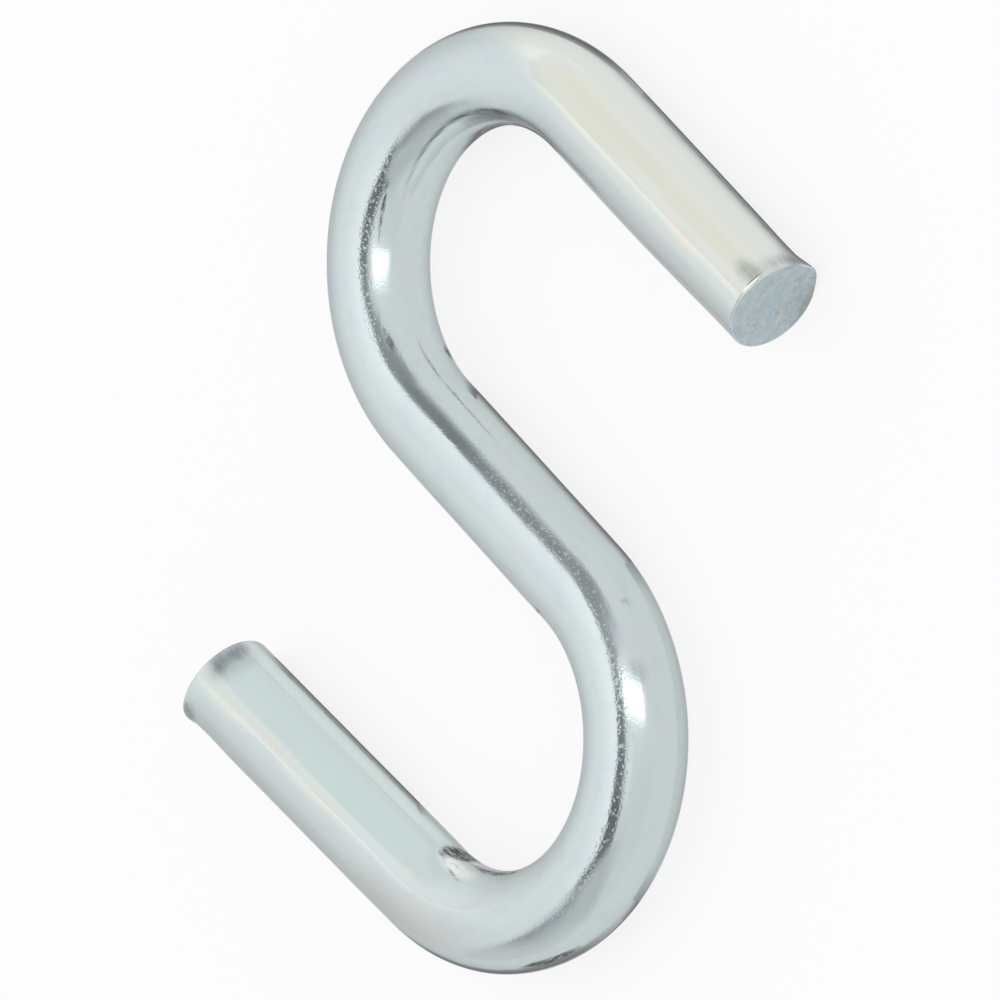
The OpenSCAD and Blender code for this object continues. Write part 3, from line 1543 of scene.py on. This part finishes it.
@dataclass
class Studio:
    """Floor, sky, cards and camera.

    Attributes:
        view: Where the camera stands.
        cards: Far light panels and dark flags.
        near: Cards that hang near the hook.
        strips: Strips of card along the rod.
        tent: Light of the plain tent behind the far ones.
        floor_colour: Colour of the floor.
        floor_glow: Share of the floor's light that no shadow takes away.
        floor_mirrored: Colour of the open floor as the metal mirrors it.
        painted_contact_shade: Colour of the floor against the hook as the metal mirrors it.
        painted_contact_shade: Painted shade on the floor where it meets the hook, as the metal
            mirrors it.
        contact_reach: How far from the hook the painted shade reaches, in millimetres.
    """

    view: Viewpoint
    cards: tuple[Card, ...]
    near: tuple[NearPanel | Reflector, ...]
    strips: tuple[Strip, ...]
    tent: float = 1.0
    floor_colour: Colour = linear(254, 254, 254)
    floor_glow: float = 0.82
    floor_mirrored: Colour = linear(254, 254, 254)
    painted_contact_shade: Colour = linear(134, 128, 119)
    contact_reach: float = 2.8
    contact_fade: tuple[float, float] = (0.25, 0.95)
    contact_samples: int = 12
    floor_half: float = 30.0

    def card_group(self, names: tuple[str, ...]) -> bpy.types.NodeTree:
        """Make the group that tells how much of a card a direction sees.

        Formula: each angle is graded from 0 to 1 across the lower of its two edges and from 1
        to 0 across the upper one, and the four grades are multiplied. The light is the middle's,
        plus the lean and the lift times the angles from the middle. The skew times the upward
        angle from the middle is first taken off the sideways angle.

        Args:
            names: The names of a card's settings.

        Returns:
            The node group.
        """
        kinds = {name: "NodeSocketFloat" for name in ("Sideways", "Upward", *names)}
        outs = {"Share": "NodeSocketFloat", "Glow": "NodeSocketFloat"}
        tree, nodes, given, out = new_group("card", kinds, outs)
        value = given.outputs
        share: object = 1.0
        glow: object = value["Light"]
        half_way = nodes.times(nodes.math("ADD", value["Low"], value["High"]), 0.5)
        above = nodes.math("SUBTRACT", value["Upward"], half_way)
        slid = nodes.times(above, value["Skew"])
        sideways = nodes.math("SUBTRACT", value["Sideways"], slid)
        for angle, first, last, slope in (
            (sideways, "Left", "Right", "Lean"),
            (value["Upward"], "Low", "High", "Lift"),
        ):
            for side, ends in ((first, (0.0, 1.0)), (last, (1.0, 0.0))):
                start = nodes.math("SUBTRACT", value[side], value["Soft " + side])
                stop = nodes.math("ADD", value[side], value["Soft " + side])
                grade = nodes.grade(angle, start, stop, *ends)
                share = nodes.times(share, grade)
            middle = nodes.times(nodes.math("ADD", value[first], value[last]), 0.5)
            off = nodes.math("SUBTRACT", angle, middle)
            glow = nodes.math("ADD", glow, nodes.times(off, value[slope]))
        nodes.feed(out.inputs["Share"], share)
        nodes.feed(out.inputs["Glow"], glow)
        return tree

    def light_sky(self) -> None:
        """Make the world: a pale tent with its cards, and plain white behind the hook.

        Formula: the sideways angle is the arc tangent of a direction's part to the right over
        its part to the camera, and the upward angle the arc sine of its part upward.
        """
        world = bpy.data.worlds.new("studio")
        bpy.context.scene.world = world
        nodes = blank_nodes(world)
        way = nodes.add("ShaderNodeTexCoord").outputs["Generated"]
        right, up, back = (nodes.dot(way, tuple(axis)) for axis in self.view.axes())
        sideways = nodes.math("DEGREES", nodes.math("ARCTAN2", right, back))
        upward = nodes.math("DEGREES", nodes.math("ARCSINE", up))
        group = self.card_group(tuple(self.cards[0].settings()))
        colour: object = (self.tent, self.tent, self.tent, 1.0)
        for card in self.cards:
            patch = nodes.add("ShaderNodeGroup", node_tree=group, label=card.name)
            nodes.feed(patch.inputs["Sideways"], sideways)
            nodes.feed(patch.inputs["Upward"], upward)
            for name, value in card.settings().items():
                nodes.feed(patch.inputs[name], value)
            colour = nodes.tint(patch.outputs["Share"], colour, patch.outputs["Glow"])
        seen = nodes.add("ShaderNodeLightPath").outputs["Is Camera Ray"]
        colour = nodes.tint(seen, colour, WHITE)
        nodes.finish(nodes.shader("ShaderNodeBackground", Color=colour), "ShaderNodeOutputWorld")

    def lay_floor(self) -> bpy.types.Object:
        """Make the plain floor that the hook lies on. To mirrored rays it glows, with painted
        shade where it meets the hook.

        Returns:
            The floor.
        """
        corner = np.array([[-1, -1, 0], [1, -1, 0], [1, 1, 0], [-1, 1, 0]], float)
        mesh = bpy.data.meshes.new("floor")
        mesh.from_pydata((corner * self.floor_half).tolist(), [], [(0, 1, 2, 3)])
        material = bpy.data.materials.new("white floor")
        nodes = blank_nodes(material)
        path = nodes.add("ShaderNodeLightPath").outputs
        matt = nodes.shader("ShaderNodeBsdfDiffuse", Color=self.floor_colour)
        paper = nodes.shader("ShaderNodeEmission", Color=WHITE)
        plain = nodes.mix(nodes.times(path["Is Camera Ray"], self.floor_glow), matt, paper)

        # Painted shade: mirrored rays see the floor glow, darker where the hook closes off the
        # open sky.
        near = nodes.add("ShaderNodeAmbientOcclusion", samples=self.contact_samples)
        near.inputs["Distance"].default_value = self.contact_reach * MM
        open_sky = nodes.grade(near.outputs["AO"], *self.contact_fade)
        colour = nodes.tint(open_sky, self.painted_contact_shade, self.floor_mirrored)
        mirrored = nodes.shader("ShaderNodeEmission", Color=colour)
        seen = nodes.math("MAXIMUM", path["Is Glossy Ray"], path["Is Transmission Ray"])
        nodes.finish(nodes.mix(seen, plain, mirrored))
        mesh.materials.append(material)
        floor = add_object("floor", mesh)
        return floor

    def build(self, rod: BentRod) -> None:
        """Make the floor, the cards, the sky and the camera, and set plain colour handling.

        Args:
            rod: The hook that the near cards and the strips follow.
        """
        self.lay_floor()
        for card in self.near:
            card.build(rod, self.view)
        for strip in self.strips:
            strip.build(rod)
        self.light_sky()
        self.view.place_camera()
        bpy.context.scene.view_settings.view_transform = "Standard"


# ---------------------------------------------------------------- the hook's sizes and marks

# A mark is given by its kind, its place along the rod, its angle round the rod, its half
# length and its half width.


def upper_tail_marks() -> tuple[Mark, ...]:
    """Tints, painted sheen and painted shade between the upper cut face and the upper bend."""
    return (
        # Painted sheen: the tail's even zone is made lighter in colour, standing in for a
        # brighter reflection.
        Mark(MarkKind.LIGHT, 10.0, 141.0, 12.5, 40.0, soft=0.2, square=5.0),
        Mark(MarkKind.LIGHT, 22.0, 147.0, 4.5, 21.0, soft=0.6, strength=0.85),
        Mark(MarkKind.STRAW, 11.2, 127.5, 10.0, 9.5, soft=0.22, square=5.0),
        Mark(MarkKind.STRAW, 16.8, 112.0, 4.2, 13.0, soft=0.5, strength=0.8, square=3.0),
        Mark(MarkKind.STRAW, 8.0, 93.0, 11.0, 9.0, soft=0.6, strength=0.3, square=3.0),
        Mark(MarkKind.STRAW, 9.0, 143.0, 11.0, 14.0, soft=0.3, strength=0.25, square=4.0),
        Mark(MarkKind.ROSE, 5.8, 102.0, 1.9, 6.0, soft=0.7, strength=0.7),
        Mark(MarkKind.ROSE, 1.2, 105.0, 1.5, 5.0, soft=0.7, strength=0.5),
        Mark(MarkKind.ROSE, 9.0, 175.0, 7.0, 6.0, soft=0.8, strength=0.1),
        # Painted shade along one flank of the tail.
        Mark(MarkKind.PAINTED_SIDE_SHADE, 9.0, 72.0, 12.0, 18.0, soft=0.4, strength=0.35),
        # Painted shade: dark lines where the tail mirrors shade beside it, and shade at the cut
        # edge.
        Mark(MarkKind.DARK, 12.8, 163.5, 3.4, 1.3, soft=0.6, strength=0.3, square=3.0),
        Mark(MarkKind.DARK, 11.0, 190.0, 11.0, 2.6, soft=0.5, strength=0.7, square=4.0),
        Mark(MarkKind.DARK, 0.15, 100.0, 0.35, 16.0, strength=0.4),
        # Painted shade: soft patches on the rolled edge by the cut face.
        Mark(MarkKind.SHADE_SMUDGE, 0.9, 129.0, 0.85, 9.0, soft=0.8, strength=0.5),
        Mark(MarkKind.SHADE_SMUDGE, 0.4, 162.0, 0.5, 24.0, strength=0.4),
        Mark(MarkKind.SHADE_SMUDGE, 0.3, 183.0, 0.9, 9.0, strength=0.4),
    )


def upper_bend_marks() -> tuple[Mark, ...]:
    """Rougher places and painted shade on the upper bend."""
    return (
        Mark(MarkKind.HAZY, 45.0, 44.0, 5.0, 16.0, soft=0.5, square=3.0),
        Mark(MarkKind.PITTED, 43.5, 60.0, 8.5, 7.0, soft=0.4, square=3.0),
        # Painted shade: the dark bands that the inside of the bend mirrors, as soft patches and
        # dark lines.
        Mark(MarkKind.SHADE_SMUDGE, 24.0, 47.5, 6.5, 4.5, soft=0.6, strength=0.6, skew=-0.55),
        Mark(MarkKind.SHADE_SMUDGE, 26.0, 37.5, 2.4, 8.0, soft=0.7, strength=0.7, skew=-1.2),
        Mark(MarkKind.SHADE_SMUDGE, 31.5, 39.0, 5.5, 2.2, soft=0.7, strength=0.75, skew=-1.4),
        Mark(MarkKind.DARK, 31.0, 39.5, 5.5, 1.6, soft=0.7, strength=0.8, skew=-1.4),
        Mark(MarkKind.DARK, 38.6, 50.5, 1.8, 1.2, soft=0.6, strength=0.8, skew=-2.0),
        Mark(MarkKind.DARK, 41.0, 46.0, 2.5, 3.0, soft=0.8, strength=0.9, skew=-0.6),
        Mark(MarkKind.DARK, 50.4, 47.5, 1.4, 4.0, soft=0.6, strength=0.9, skew=-1.0),
        Mark(MarkKind.DARK, 52.3, -26.0, 0.9, 10.0),
    )


def shank_marks() -> tuple[Mark, ...]:
    """Rougher places and painted dark lines on the straight part between the bends."""
    return (
        Mark(MarkKind.HAZY, 70.5, 51.0, 7.0, 9.0, soft=0.6, square=3.0),
        Mark(MarkKind.PITTED, 69.5, 51.5, 8.0, 9.0, 0.5, strength=0.6, skew=0.4, square=3.0),
        # Painted shade: dark lines along the shank's edge and a dark notch across them.
        Mark(MarkKind.DARK, 65.0, 129.5, 6.5, 2.0, soft=0.6, strength=0.8, square=3.0),
        Mark(MarkKind.DARK, 66.0, 121.0, 5.5, 1.6, soft=0.6, strength=0.6, square=3.0),
        Mark(MarkKind.DARK, 71.4, 137.0, 0.4, 10.0, strength=0.9, skew=-10.0),
    )


def lower_bend_marks() -> tuple[Mark, ...]:
    """Rougher places, tints, painted shade and the press mark's painted glint on the lower bend.
    """
    return (
        Mark(MarkKind.HAZY, 80.5, 44.0, 5.0, 16.0, soft=0.5, strength=0.5, square=3.0),
        Mark(MarkKind.PITTED, 85.5, 60.0, 9.0, 7.0, soft=0.4, skew=0.4, square=3.0),
        # Painted shade: a soft dark patch on the bend.
        Mark(MarkKind.SHADE_SMUDGE, 79.0, 38.0, 0.6, 11.0, soft=0.8, strength=0.35),
        # Painted shade along one flank of the bend's end.
        Mark(MarkKind.PAINTED_SIDE_SHADE, 104.5, 78.0, 5.0, 20.0, soft=0.6, strength=0.55),
        Mark(MarkKind.PALE, 106.6, 131.0, 2.2, 11.0, soft=0.4, strength=0.9, skew=4.0),
        Mark(MarkKind.FROST, 102.4, 124.0, 2.2, 13.0, soft=0.7, strength=0.5),
        # Painted glint: bright streaked patches on the press mark at the bend's inside.
        Mark(MarkKind.PRESS_GLINT, 104.0, 155.0, 2.3, 9.0, soft=0.6, skew=2.5),
        Mark(MarkKind.PRESS_GLINT, 103.4, 182.0, 1.9, 4.5, soft=0.7, skew=-3.3),
        # Painted shade: the dark outline along the bend's outer edge, and dark lines round the
        # press mark.
        Mark(MarkKind.DARK, 96.2, 18.0, 1.9, 8.0, soft=0.5, strength=0.95, skew=4.0),
        Mark(MarkKind.DARK, 99.8, 163.0, 4.0, 7.0, soft=0.5, skew=3.0),
        Mark(MarkKind.DARK, 103.2, 142.5, 0.9, 2.8, soft=0.8, strength=0.75, skew=5.3),
        Mark(MarkKind.DARK, 105.0, 152.5, 1.3, 3.0, soft=0.7, strength=0.55, skew=5.0),
        Mark(MarkKind.DARK, 105.6, 185.0, 1.6, 24.0, soft=0.5, skew=-6.0, square=3.0),
    )


def lower_tail_marks() -> tuple[Mark, ...]:
    """Tints, painted sheen and painted shade between the lower bend and the lower cut face."""
    return (
        Mark(MarkKind.PALE, 116.9, 140.5, 10.0, 23.0, soft=0.07, skew=0.2, square=6.0),
        Mark(MarkKind.FROST, 118.0, 177.0, 10.8, 11.5, soft=0.2, strength=0.85, square=5.0),
        Mark(MarkKind.FROST, 116.0, 112.0, 14.0, 8.0, soft=0.5, strength=0.5, square=4.0),
        # Painted sheen where the tail mirrors the bright side panel.
        Mark(MarkKind.LIGHT, 116.0, 113.0, 14.5, 9.0, soft=0.5, strength=0.8, square=4.0),
        # Painted shade along one flank of the tail.
        Mark(MarkKind.PAINTED_SIDE_SHADE, 117.0, 72.0, 14.0, 20.0, soft=0.4, strength=0.3),
        Mark(MarkKind.ROSE, 113.8, 180.0, 2.2, 3.0, soft=0.6, strength=0.4),
        Mark(MarkKind.ROSE, 114.6, 104.0, 1.8, 6.0, soft=0.7, strength=0.4),
        Mark(MarkKind.ROSE, 121.3, 110.0, 2.0, 6.0, soft=0.7, strength=0.35),
        Mark(MarkKind.STRAW, 117.3, 103.0, 2.0, 6.0, soft=0.7, strength=0.4),
        Mark(MarkKind.STRAW, 125.5, 104.0, 2.6, 9.0, soft=0.7, strength=0.5),
        # Painted shade: dark lines along the tail's edges, where it mirrors shade beside it.
        Mark(MarkKind.DARK, 119.0, 164.3, 7.5, 1.2, soft=0.6, strength=0.24, square=4.0),
        Mark(MarkKind.DARK, 119.0, 190.0, 9.5, 2.6, soft=0.5, strength=0.7, square=4.0),
        # Painted shade: soft patches on the rolled edge by the lower cut face.
        Mark(MarkKind.SHADE_SMUDGE, 127.4, 143.0, 1.1, 24.0, soft=0.8, strength=0.3),
        Mark(MarkKind.SHADE_SMUDGE, 127.75, 130.0, 0.6, 10.0, strength=0.6, skew=5.0),
        Mark(MarkKind.SHADE_SMUDGE, 127.8, 157.0, 0.55, 11.0, strength=0.65, skew=6.0),
        Mark(MarkKind.SHADE_SMUDGE, 128.1, 52.0, 0.45, 14.0, strength=0.65),
    )


def hook_rod() -> BentRod:
    """Give the hook its driving sizes, its press marks, and its tints, painted shade and painted
    sheen.
    """
    return BentRod(
        diameter=6.35,
        shank=16.2,
        upper=Bend(radius=11.6, angle=180.0, turn=Turn.LEFT),
        lower=Bend(radius=11.5, angle=177.0, turn=Turn.RIGHT),
        upper_end=ShearedEnd(
            tail=19.0,
            lip=-140.0,
            lip_height=0.25,
            lip_length=1.7,
            lip_width=17.0,
            pinch=0.03,
            pinch_offset=2.8,
            roll=0.28,
            roll_around=138.0,
            roll_width=34.0,
            edge=0.1,
        ),
        lower_end=ShearedEnd(
            tail=21.4,
            lip=52.0,
            lip_height=0.19,
            lip_length=0.6,
            lip_width=26.0,
            roll=0.34,
            roll_around=135.0,
        ),
        dents=(
            Dent(along=1.2, around=123.0, length=0.5, width=0.45, depth=0.05),
            Dent(along=127.6, around=120.0, length=0.5, width=0.4, depth=0.05),
            Dent(along=-0.5, around=42.0, length=6.5, width=2.6, depth=0.24),
            Dent(along=104.2, around=160.0, length=1.7, width=0.5, depth=0.05, skew=0.12),
        ),
        tinted=(
            *upper_tail_marks(),
            *upper_bend_marks(),
            *shank_marks(),
            *lower_bend_marks(),
            *lower_tail_marks(),
        ),
    )


# ---------------------------------------------------------------- the studio's cards

# A far card is given by its name, its left, right, lower and upper edge, and its light. A
# strip is given by its name, its first and last place along the rod, and its side.


def sky_cards() -> tuple[Card, ...]:
    """Far panels and flags. A later one covers those before it."""
    return (
        Card("lower shade", -20.0, 60.0, -90.0, -12.0, 0.95, Soft(25.0, 1.0, 1.0, 12.0)),
        Card("left wall", -180.0, -85.0, -34.0, 90.0, 0.97, Soft(1.0, 4.0, 8.0, 1.0), 0.004),
        Card("shade under the wall", -160.0, -8.0, -85.0, -39.0, 0.81,
             Soft(20.0, 22.0, 15.0, 4.0), lean=-0.0015),
        Card("shade under the side panel", -100.0, -54.0, -62.0, -40.5, 0.64,
             Soft(14.0, 9.0, 10.0, 2.0)),
        Card("slit under the side panel", -92.0, -52.0, -50.0, -41.0, 0.5,
             Soft(14.0, 6.0, 3.0, 2.0)),
        Card("gap above the side panel", -72.0, -8.0, 34.0, 64.0, 0.37,
             Soft(5.0, 14.0, 3.0, 9.0), lean=0.003),
        Card("gap beside the side panel", -52.0, -22.5, -36.0, 26.0, 0.27,
             Soft(1.0, 3.5, 4.0, 6.0), lift=0.005),
        Card("gap below the side panel", -60.0, -24.0, -39.0, -20.0, 0.22,
             Soft(6.0, 5.0, 5.0, 5.0)),
        Card("side panel", -88.0, -38.5, -31.0, 39.5, 1.25, Soft(6.0, 1.5, 2.0, 1.5),
             lean=0.0055, lift=0.003, skew=0.2),
        Card("gap at the panel's corner", -46.5, -20.0, 18.0, 42.0, 0.4,
             Soft(2.0, 7.0, 3.0, 4.0), skew=-0.85),
        Card("wing of the camera panel", -19.0, -6.0, -24.0, -4.0, 1.15,
             Soft(4.0, 4.0, 5.0, 3.0)),
    )


def near_cards() -> tuple[NearPanel | Reflector, ...]:
    """Cards that hang near the hook."""
    return (
        NearPanel("camera_panel", over=(-15.6, 6.5), distance=115.0, left=24.0, right=56.0,
                  low=20.0, high=11.0, light=2.4),
        Reflector("upper_reflector", along=13.0, around=131.0, hover=6.0, near=3.9, far=9.4,
                  half_length=14.0),
        Reflector("lower_reflector", along=120.0, around=131.0, hover=11.0, near=6.4,
                  far=15.1, half_length=14.2),
    )


def standing_strips() -> tuple[Strip, ...]:
    """Bright strips that stand on the floor at the sides of the rod: painted light that the hook
    mirrors in place of the shade beside it.
    """
    return (
        Strip("upper_left_strip", 0.0, 36.0, around=0.0),
        Strip("right_strip", 20.0, 128.0, around=180.0),
        Strip("mouth_strip", 46.4, 72.0, 0.0, lights=(0.8, 1.05), ends=0.9, fade=1.0),
        Strip("mouth_corner_strip", 36.5, 46.6, 0.0, lights=(0.6, 0.85), ends=0.7),
    )


def lying_strips() -> tuple[Strip, ...]:
    """Strips that lie on the floor beside the rod or under its flank: the bright ones paint light
    over the floor's shade in the mirror, the ones named shade are painted shade.
    """
    return (
        Strip("upper_bend_strip", 34.5, 55.5, 0.0, (6.2, 4.7), (0.45, 0.45), LYING,
              (1.0, 0.9), ends=0.3, fade=2.5),
        Strip("lower_bend_strip", 72.0, 92.0, 0.0, (4.7, 4.7), (0.45, 0.45), LYING,
              (0.9, 0.9), ends=0.6, fade=2.5),
        Strip("lower_inner_strip", 104.5, 113.0, 180.0, (4.7, 4.7), (1.2, 1.2), LYING,
              (0.9, 0.9), ends=0.5, fade=1.0),
        Strip("mouth_shade", 26.5, 34.3, 0.0, (5.8, 5.8), (3.0, 3.0), LYING,
              (0.3, 0.3), ends=0.5, fade=1.0),
        Strip("upper_edge_shade", 18.5, 35.0, 180.0, (3.8, 11.0), (2.6, 5.0), LYING,
              (0.55, 0.2), ends=0.8, fade=4.0),
        Strip("lower_edge_shade", 93.5, 112.0, 0.0, (4.5, 15.0), (2.9, 7.0), LYING,
              (0.55, 0.3), ends=0.85, fade=4.5),
    )


# ---------------------------------------------------------------- putting it together


def main() -> None:
    """Build the hook and the studio, and report each piece."""
    logging.basicConfig(level=logging.INFO, format="%(message)s")
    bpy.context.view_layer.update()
    grain = PlatedGrain().group()
    finishes = (ZincPlate().material(grain), ShearedFace().material(grain))
    rod = hook_rod()
    hook = rod.build("bent_rod", finishes)
    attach(hook, "root")
    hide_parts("hook")
    log.info("bent_rod: %d faces", len(hook.data.polygons))

    view = Viewpoint(aim=(*rod.shank_middle(), 0.5 * rod.diameter))
    strips = (*standing_strips(), *lying_strips())
    studio = Studio(view=view, cards=sky_cards(), near=near_cards(), strips=strips)
    studio.build(rod)
    log.info("studio: %d far cards, %d strips", len(studio.cards), len(strips))


if __name__ == "__main__":
    main()
